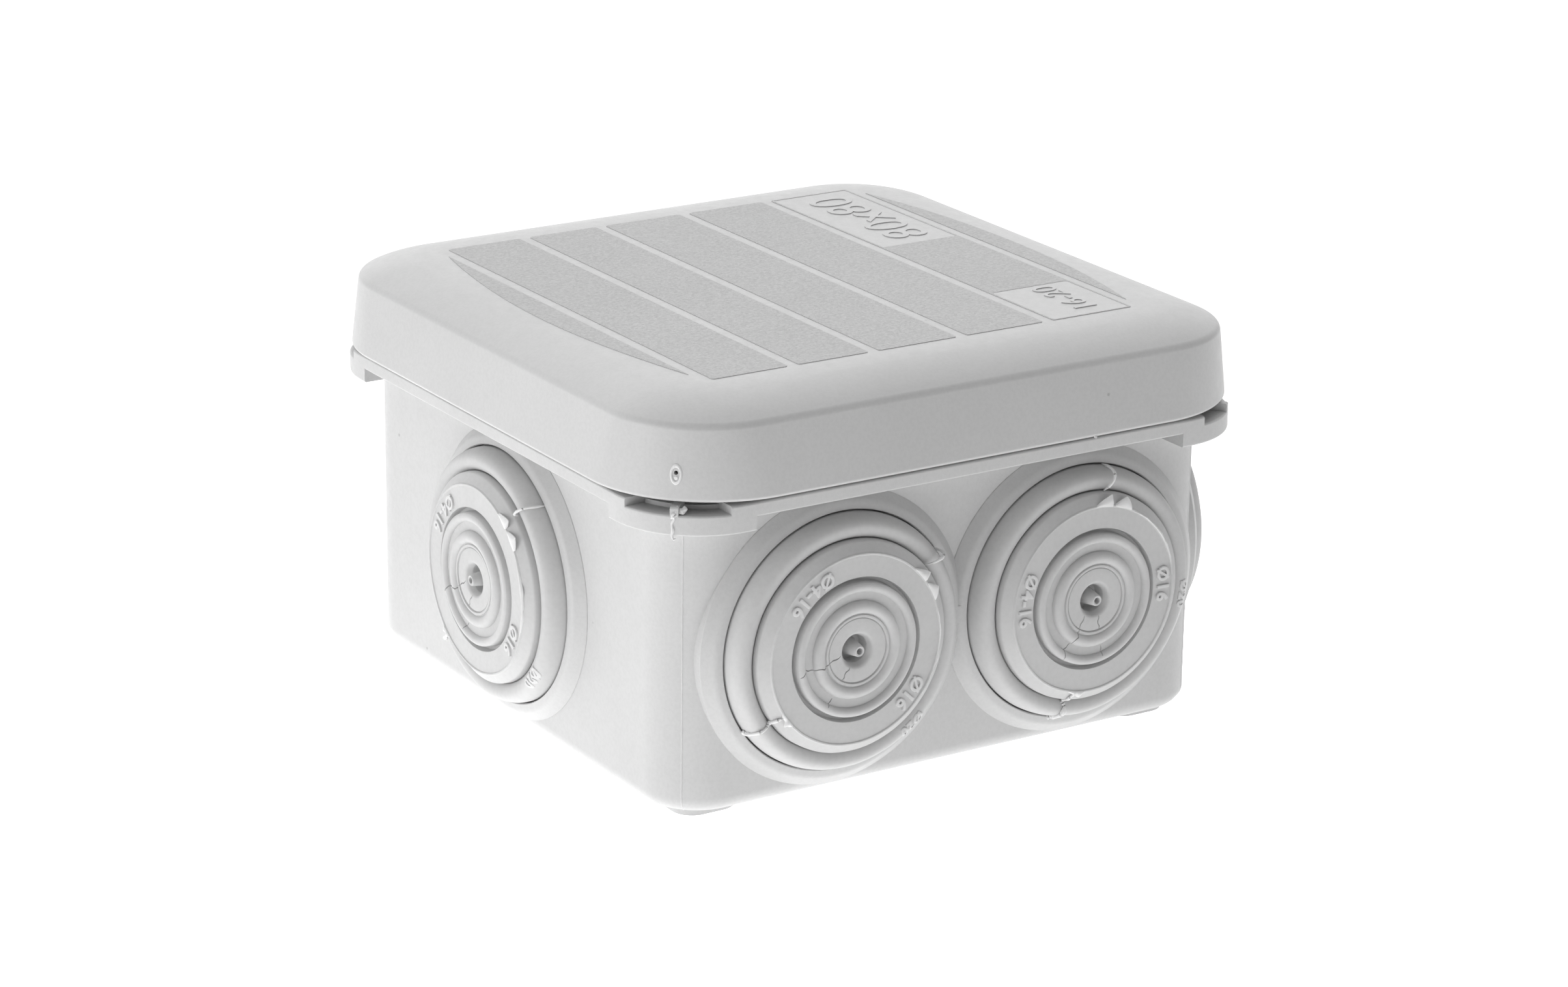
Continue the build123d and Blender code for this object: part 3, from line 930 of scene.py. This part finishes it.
def corner_flash():
    """Ragged string of flash down the near left lip, with a lump at its top and a nib on the pad below."""
    reach = sqrt(2) * (FLANGE_HALF - FLANGE_CORNER) + FLANGE_CORNER

    def at(out, right, z):
        diagonal = sqrt(0.5)
        return Vector(((right - reach - out) * diagonal, (-right - reach - out) * diagonal, z))

    down = [
        at(-0.5, 0.25, FLANGE_TOP + 0.05), at(0.0, 0.2, 36.5), at(0.12, -0.15, 36.1), at(0.03, 0.02, 35.75),
        at(0.02, -0.22, 35.2), at(0.05, -0.12, 34.5), at(0.05, -0.18, 33.95), at(0.08, -0.02, 33.5),
        at(0.0, 0.25, 33.6),
    ]
    lump = bmesh.new()
    bmesh.ops.create_icosphere(lump, subdivisions=3, radius=0.5)
    for v in lump.verts:
        v.co *= 1 + 0.7 * noise.noise(v.co * 2.2 + Vector((3, 1, 8)))
    lump.transform(Matrix.Translation(at(-0.75, 0.75, 36.45)) @ Matrix.Diagonal((0.9, 0.8, 0.8, 1)))
    spike = strand([at(-0.3, 0.3, 36.2), at(0.05, 0.15, 36.05), at(0.1, -0.35, 35.8)], 0.16, 3)
    foot = strand([(-26.2, -32.2, 0.85), (-25.6, -32.45, 0.75), (-25.25, -32.5, 0.5)], 0.12, 4)
    return [strand(down, 0.13, 2), lump, spike, foot]


def collar_bridges():
    """Small block between the two collars of each pair, at the height of their middles."""
    blocks = []
    for turn in (0, pi / 2, pi):
        block = box_mesh(-0.5, 0.5, -WALL_HALF - 1.27, -WALL_HALF + SINK, BRIDGE[0], BRIDGE[1], 0.06)
        blocks.append(moved(block, Matrix.Rotation(turn, 4, "Z")))
    return blocks


def entry_place(mount):
    """Frame of a cable entry, in millimetres: Z out of the wall, Y up."""
    out = Vector(mount["axis"])
    up = Vector((0, 0, 1))
    along = up.cross(out)
    place = Matrix((along, up, out)).transposed().to_4x4()
    place.translation = Vector(mount["pos_m"]) / MM
    return place


ENTRIES = {
    m["name"].removeprefix("cable_entry_"): entry_place(m)
    for m in frame["record"]["mounts"] if m["name"].startswith("cable_entry_")
}


def corner_pads():
    outline = rectangle(-PAD_HALF, PAD_HALF, -PAD_HALF, PAD_HALF, PAD_CORNER, 10)
    return [
        prism([(at_x + x, at_y + y) for x, y in outline], 0.0, FOOT_Z + 0.7, 0.18)
        for at_x in (-PAD_AT, PAD_AT) for at_y in (-PAD_AT, PAD_AT)
    ]


def make_base():
    shell = base_shell()
    first = [n for n in sorted(ENTRIES) if n in ("front_left", "right_front", "rear_right", "left")]
    second = [n for n in sorted(ENTRIES) if n not in first]
    for names in (first, second):
        shell = combine(shell, [collar(ENTRIES[n]) for n in names], "UNION")
    out, low, high = WALL_BEAD
    beads = snap_beads(-WALL_HALF - out, low, high, -WALL_HALF + SINK)
    corners = [(sx * FIXING_AT, sy * FIXING_AT) for sx in (-1, 1) for sy in (-1, 1)]
    sides = [(side * BLOCK_BOSS_AT, 0) for side in (-1, 1)]
    foot = FLOOR_Z - 0.8
    radius, top = FIXING_BOSS
    block_radius, block_top = BLOCK_BOSS
    bosses = [disc(*at, radius, foot, top, 0.3) for at in corners]
    bosses += [disc(*at, block_radius, foot, block_top, 0.2) for at in sides]
    shell = combine(shell, beads + bosses + corner_pads() + collar_bridges(), "UNION")
    bore = ((0, -4), (ENTRY_HOLE, -4), (ENTRY_HOLE, 2.5), (0, 2.5))
    drills = [moved(lathe(bore), place) for place in ENTRIES.values()]
    drills += [disc(*at, FIXING_HOLE, -1, top + 1) for at in corners]
    drills += [disc(*at, PILOT_HOLE, 1.8, block_top + 1) for at in sides]
    shell = combine(shell, drills, "DIFFERENCE")
    shell = joined([tidy(shell)] + marked(corner_flash(), 1))
    piece = new_piece("base_moulding", shell, (BOX_GREY, FLASH_AND_SEAM_HIGHLIGHT_GREY))
    smooth(piece)
    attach(piece, "box")
    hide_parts("base_box")


# --- grommets ---

def grommet_profile():
    """Section of a stepped grommet, (radius, height) from the wall's outer face."""
    roll = [(ROLL_R + 1.3 * cos(a), 1.3 + 2.25 * sin(a)) for a in (pi / 2 * i / 16 for i in range(17))]
    roll += [(ROLL_R - 1.2 * sin(a), 2.5 + 1.05 * cos(a)) for a in (1.4 * i / 12 for i in range(1, 13))]
    step = section([
        (11.92, 2.64, 0), (11.84, 2.68, 0.03), (11.84, 2.88, 0.04), (11.98, 3.0, 0.04),
        (11.92, 3.83, 0.4), (10.86, 4.62, 0.05), (10.76, 4.8, 0.05), (10.6, 4.8, 0.05),
        (10.52, 4.68, 0.05), (8.14, 4.68, 0.06), (8.04, 3.75, 0.1), (7.62, 3.72, 0.1),
        (7.52, 4.9, 0),
    ], 4)
    bead = arc_through((7.52, 4.9), (7.12, 5.14), (6.5, 4.64), 14)
    ring = arc_through((5.52, 4.58), (4.95, 5.26), (4.14, 4.88), 16)
    middle = section([
        (4.14, 4.88, 0), (4.06, 4.86, 0.03), (3.98, 5.02, 0.06), (3.74, 5.02, 0.06),
        (3.66, 4.74, 0.04), (3.56, 4.92, 0.06), (1.95, 4.9, 0.45), (1.58, 4.2, 0.3),
        (1.5, 2.75, 0.2), (1.05, 2.7, 0.15), (0.64, 5.15, 0.1), (0.56, 5.34, 0.05),
        (0.36, 5.3, 0.04), (0.3, 4.4, 0.05), (0, 4.3, 0),
    ], 4)
    inside_face = section([
        (0, 1.9, 0), (2.5, 1.9, 0.3), (2.7, 3.1, 0.3), (8.5, 3.1, 0.2), (8.5, 3.6, 0.1),
        (10.9, 3.6, 0.2), (10.9, -3.1, 0.3), (13.7, -3.1, 0.4), (13.7, -1.95, 0.15),
        (12.65, -1.95, 0), (12.65, 0.02, 0), (14.45, 0.02, 0), (14.45, 1.3, 0),
    ], 4)
    return inside_face + roll[1:] + step + bead[1:] + ring + middle[1:]


def arc_through(a, b, c, steps):
    """Arc from a through b to c."""
    ax, ay = a
    bx, by = b
    cx, cy = c
    d = 2 * (ax * (by - cy) + bx * (cy - ay) + cx * (ay - by))
    a2, b2, c2 = ax * ax + ay * ay, bx * bx + by * by, cx * cx + cy * cy
    ux = (a2 * (by - cy) + b2 * (cy - ay) + c2 * (ay - by)) / d
    uy = (a2 * (cx - bx) + b2 * (ax - cx) + c2 * (bx - ax)) / d
    start = atan2(ay - uy, ax - ux)
    through = atan2(by - uy, bx - ux)
    end = atan2(cy - uy, cx - ux)
    turn = (end - start) % tau
    if (through - start) % tau > turn:
        turn -= tau
    return arc_points(ux, uy, hypot(ax - ux, ay - uy), start, start + turn, steps)


PROFILE = grommet_profile()
OUTER_FACE = [p for p in PROFILE if p[1] >= 1.3]


def surface_height(radius):
    """Height of a grommet's outer face at a radius."""
    best = 0.0
    for (r0, h0), (r1, h1) in zip(OUTER_FACE, OUTER_FACE[1:]):
        if min(r0, r1) <= radius <= max(r0, r1) and abs(r1 - r0) > 1e-6:
            best = max(best, h0 + (h1 - h0) * (radius - r0) / (r1 - r0))
    return best


def soft_shift(point, seed):
    """Small unevenness of a soft moulding at one of its points."""
    radius, angle = point.xy.length, atan2(point.y, point.x)
    if radius < 1.0 or point.z < 1.35:
        return Vector()
    x, y = cos(angle), sin(angle)
    at = Vector((x * radius * 0.16, y * radius * 0.16, point.z * 0.1)) + Vector((seed * 13.7, seed * 5.1, 0))
    lift = -0.025 * (1 + noise.noise(at))
    return Vector((x, y, 0)) * (0.03 * noise.noise(at * 1.9)) + Vector((0, 0, lift))


def polar(radius, degrees, height):
    """Point of a grommet by its radius, direction and height from the wall."""
    return Vector((*around(radius, radians(degrees)), height))


def across_roll(seed):
    """String of flash that crosses the roll, lower left, from the collar's groove to the step's edge."""
    chance = random.Random(seed)
    sway = [chance.uniform(-1.2, 1.2) for _ in range(7)]
    route = (
        (14.75, 1.55), (14.35, 2.5), (13.7, 3.55), (12.9, 3.7), (12.2, 3.25), (11.75, 4.1), (11.05, 4.72),
    )
    points = [polar(r, 214 + turn * 0.6, h) for (r, h), turn in zip(route, sway)]
    blob = [polar(14.75, 212.8, 1.6), polar(14.45, 213.8, 2.0), polar(14.2, 214.6, 2.6)]
    return [strand(points, 0.22, seed), strand(blob, 0.28, seed + 1)]


def loose_loop(seed):
    """Fine string of flash that arches over the roll, upper right, from the groove to the step's foot."""
    chance = random.Random(seed)
    lift = chance.uniform(-0.3, 0.25)
    route = ((14.52, 35.4, 1.3), (14.6, 35.6, 2.7), (14.3, 36.4, 3.9 + lift), (13.5, 37.4, 4.35 + lift),
             (12.7, 38.2, 4.1), (12.05, 38.6, 3.4))
    return strand([polar(*p) for p in route], 0.14, seed)


def tab(start, end, tip, reach, seed, ragged=0.0):
    """Torn scrap of flash that stands out from the step's upper edge, between two directions in degrees."""
    columns, rows = 22, 5
    peak = (tip - start) / (end - start)
    mesh = bmesh.new()
    layers = []
    for under in (0, 1):
        sheet = []
        for j in range(rows + 1):
            v = j / rows
            row = []
            for i in range(columns + 1):
                u = i / columns
                out = (u / peak) ** 0.9 if u < peak else ((1 - u) / (1 - peak)) ** 0.55
                out = max(0.03, out * (1 + ragged * 2 * noise.noise(Vector((u * 9, seed, 1.5)))))
                dome = sin(pi * (0.2 + 0.75 * v)) * sqrt(out)
                uneven = 0.05 * noise.noise(Vector((u * 4, v * 3, seed)))
                h = 4.66 + 0.3 * dome + uneven - under * (0.2 - 0.12 * v)
                row.append(mesh.verts.new(polar(10.62 + reach * out * v, start + (end - start) * u, h)))
            sheet.append(row)
        layers.append(sheet)
        for j in range(rows):
            for i in range(columns):
                mesh.faces.new((sheet[j][i], sheet[j][i + 1], sheet[j + 1][i + 1], sheet[j + 1][i]))
    over, below = layers
    rim = [(0, i) for i in range(columns)] + [(j, columns) for j in range(rows)]
    rim += [(rows, i) for i in range(columns, 0, -1)] + [(j, 0) for j in range(rows, 0, -1)]
    for (j, i), (m, n) in zip(rim, rim[1:] + rim[:1]):
        mesh.faces.new((over[j][i], over[m][n], below[m][n], below[j][i]))
    return tidy(mesh)


def crack(points, seed):
    """Thin blade to cut a wandering line into the rings, through (radius, degrees) points."""
    chance = random.Random(seed)
    route = []
    for (r0, a0), (r1, a1) in zip(points, points[1:]):
        steps = max(2, round(hypot(r1 - r0, radians(a1 - a0) * r0) / 0.35))
        for i in range(steps):
            r = r0 + (r1 - r0) * i / steps
            swing = chance.uniform(-0.11, 0.11) / r
            route.append(polar(r, a0 + (a1 - a0) * i / steps + math.degrees(swing), surface_height(r)))
    route.append(polar(*points[-1], surface_height(points[-1][0])))
    up = Vector((0, 0, 1))
    last = len(route) - 1
    rings = []
    for i, at in enumerate(route):
        across = (route[min(i + 1, last)] - route[max(i - 1, 0)]).cross(up).normalized()
        across *= 0.02 if i in (0, last) else chance.uniform(0.05, 0.085)
        above = up * 0.4
        rings.append([at - up * 0.2, at + across, at + across + above, at - across + above, at - across])
    return tidy(capped(rings))


def arc_marking(text, height, radius, degrees, tops_out, proud=0.24):
    """Generic characters bent round a grommet and raised off its face."""
    mesh = lettering(
        text, align_x="CENTER", align_y="CENTER", size=height * 1.42, offset=0.03, extrude=0.15,
        bevel_depth=0.04, bevel_resolution=1, resolution_u=4, space_character=1.1,
    )
    for v in mesh.verts:
        x, y, z = v.co
        reach = radius + (y if tops_out else -y)
        turn = math.degrees(x / radius) * (-1 if tops_out else 1)
        v.co = polar(reach, degrees + turn, surface_height(reach) + z - 0.21 + proud)
    return tidy(mesh)


def plain_grommet():
    """Turned shape of every grommet, with the cracks of its weld lines and its size marks."""
    cracks = [
        crack([(2.1, 189), (4.5, 196), (6.5, 191), (7.45, 194)], 1),
        crack([(2.0, 241), (3.6, 238)], 2),
        crack([(5.8, 240), (6.9, 237)], 3),
    ]
    turned = combine(lathe(PROFILE), cracks, "DIFFERENCE")
    marks = [
        arc_marking("Ø4-16", 1.5, 9.35, 128, False), arc_marking("Ø16", 1.5, 9.35, -42, True),
        arc_marking("Ø20", 1.2, 13.35, -52, True, 0.14),
    ]
    # The characters go on slot 2, the lighter grey that paints their highlight.
    return joined([turned] + marked(marks, 2))


def make_grommet(name, place, number, plain):
    """Grommet with its own flash and slight unevenness."""
    seed = number * 17 + 3
    chance = random.Random(seed)
    size = chance.uniform(0.8, 1.1)
    flash = [
        *across_roll(seed), loose_loop(seed + 2),
        tab(48.4, 35.3, 37.2, 1.3 * size, seed + 3), tab(34.6, 20.6, 27.0, 1.25 * size, seed + 4),
        tab(21.5, -40.0, -5.0, 0.32, seed + 5, 0.4), tab(-151.0, -138.0, -142.0, 0.75 * size, seed + 6, 0.3),
    ]
    mesh = plain.copy()
    for v in mesh.verts:
        v.co += soft_shift(v.co, seed)
    mesh = joined([mesh] + marked(flash, 1))
    mesh.transform(place @ Matrix.Rotation(radians(GROMMET_TURNS[name]), 4, "Z"))
    piece = new_piece(f"grommet_{name}_moulding", mesh, (GROMMET_GREY, FLASH_AND_SEAM_HIGHLIGHT_GREY, PAINTED_HIGHLIGHT_MARK_GREY))
    smooth(piece, 40)
    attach(piece, "box")
    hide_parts(f"grommet_{name}")


# --- terminal block ---

def dress_nodes():
    """Materials and softened edges for the CAD nodes that stay."""
    looks = {
        "terminal_plate": TERMINAL_WHITE, "terminal_housing": TERMINAL_WHITE,
        "terminal_fixing_screws": ZINC_STEEL, "current_bar": BRASS, "clamp_cage": BRASS,
        "clamp_screw": ZINC_STEEL,
    }
    for name, node in frame["nodes"].items():
        look = next((m for start, m in looks.items() if name.startswith(start)), None)
        if look is None:
            continue
        for material_slot in node.material_slots:
            material_slot.material = look
        set_up(node.modifiers.new("weld", "WELD"), merge_threshold=0.000002)
        set_up(
            node.modifiers.new("soft_edges", "BEVEL"), width=0.00012, segments=2, limit_method="ANGLE",
            angle_limit=radians(40), harden_normals=True,
        )


# --- stage ---

def make_floor():
    mesh = bmesh.new()
    bmesh.ops.create_grid(mesh, x_segments=8, y_segments=8, size=6000.0)
    made, tree, shader = material("studio_floor", 0.8, 0.0)
    tone = mottle(tree, 2.0, 2, FLOOR_TONE, FLOOR_TONE + 0.02)
    shader.inputs["Emission Color"].default_value = (1, 1, 1, 1)
    where = add(tree, "ShaderNodeTexCoord")
    glow = FLOOR_GLOW
    for centre, near, far, extra in FLOOR_SPOTS:
        away = add(tree, "ShaderNodeVectorMath", operation="DISTANCE")
        away.inputs[1].default_value = Vector((*centre, 0)) * MM
        tree.links.new(where.outputs["Object"], away.inputs[0])
        fade = add(tree, "ShaderNodeMapRange", interpolation_type="SMOOTHSTEP")
        tree.links.new(away.outputs["Value"], fade.inputs["Value"])
        ends = {"From Min": near * MM, "From Max": far * MM, "To Min": extra, "To Max": 0.0}
        for socket, value in ends.items():
            fade.inputs[socket].default_value = value
        glow = calculate(tree, "ADD", fade.outputs["Result"], glow)
    tree.links.new(glow, shader.inputs["Emission Strength"])
    tree.links.new(tone, shader.inputs["Base Color"])
    floor = scaled("studio_floor", mesh, (made,))


def make_lights():
    """A soft key on the left, and a sky that is bright behind and on the right, and dark in front."""
    lamp = bpy.data.lights.new("key_left", "AREA")
    key = placed("key_left", set_up(lamp, shape="DISK", size=0.5, energy=KEY_WATTS))
    target = Vector((0, 0, 0.025))
    key.location = Vector(KEY_FROM).normalized() * 0.9 + target
    key.rotation_euler = (target - key.location).to_track_quat("-Z", "Y").to_euler()
    world = bpy.data.worlds.new("studio")
    world.use_nodes = True
    tree = world.node_tree
    where = add(tree, "ShaderNodeTexCoord")
    total = SKY_BASE
    for direction, strength in SKY_LOBES:
        share = add(tree, "ShaderNodeVectorMath", operation="DOT_PRODUCT")
        share.inputs[1].default_value = Vector(direction).normalized()
        tree.links.new(where.outputs["Generated"], share.inputs[0])
        facing = calculate(tree, "MAXIMUM", share.outputs["Value"], 0.0)
        lobe = calculate(tree, "MULTIPLY", calculate(tree, "POWER", facing, 2.0), strength)
        total = calculate(tree, "ADD", lobe, total)
    tree.links.new(total, tree.nodes["Background"].inputs["Strength"])
    tree.nodes["Background"].inputs["Color"].default_value = (1, 1, 1, 1)
    bpy.context.scene.world = world
    bpy.context.scene.view_settings.view_transform = "Standard"


def calculate(tree, operation, *values):
    """Maths node over outputs and numbers."""
    node = add(tree, "ShaderNodeMath", operation=operation)
    for socket, value in zip(node.inputs, values):
        if isinstance(value, (int, float)):
            socket.default_value = value
        else:
            tree.links.new(value, socket)
    return node.outputs[0]


def make_camera():
    """Camera on the front left, above the lid."""
    azimuth, elevation, roll = (radians(a) for a in (-32.592, 18.621, 0.754))
    distance = 519.3
    target = Vector((-0.405, -1.402, 22.345))
    back = Vector((sin(azimuth) * cos(elevation), -cos(azimuth) * cos(elevation), sin(elevation)))
    right = (-back).cross(Vector((0, 0, 1))).normalized()
    up = right.cross(-back)
    tilted_right = right * cos(roll) + up * sin(roll)
    tilted_up = up * cos(roll) - right * sin(roll)
    place = Matrix((tilted_right, tilted_up, back)).transposed().to_4x4()
    place.translation = (target + back * distance) * MM
    camera = placed("camera", set_up(bpy.data.cameras.new("camera"), lens=103.9, sensor_width=36.0))
    camera.matrix_world = place
    bpy.context.scene.camera = camera


make_lid()
make_seal()
make_base()
shape = plain_grommet()
for index, (entry, place) in enumerate(sorted(ENTRIES.items())):
    make_grommet(entry, place, index, shape)
shape.free()
dress_nodes()
make_floor()
make_lights()
make_camera()
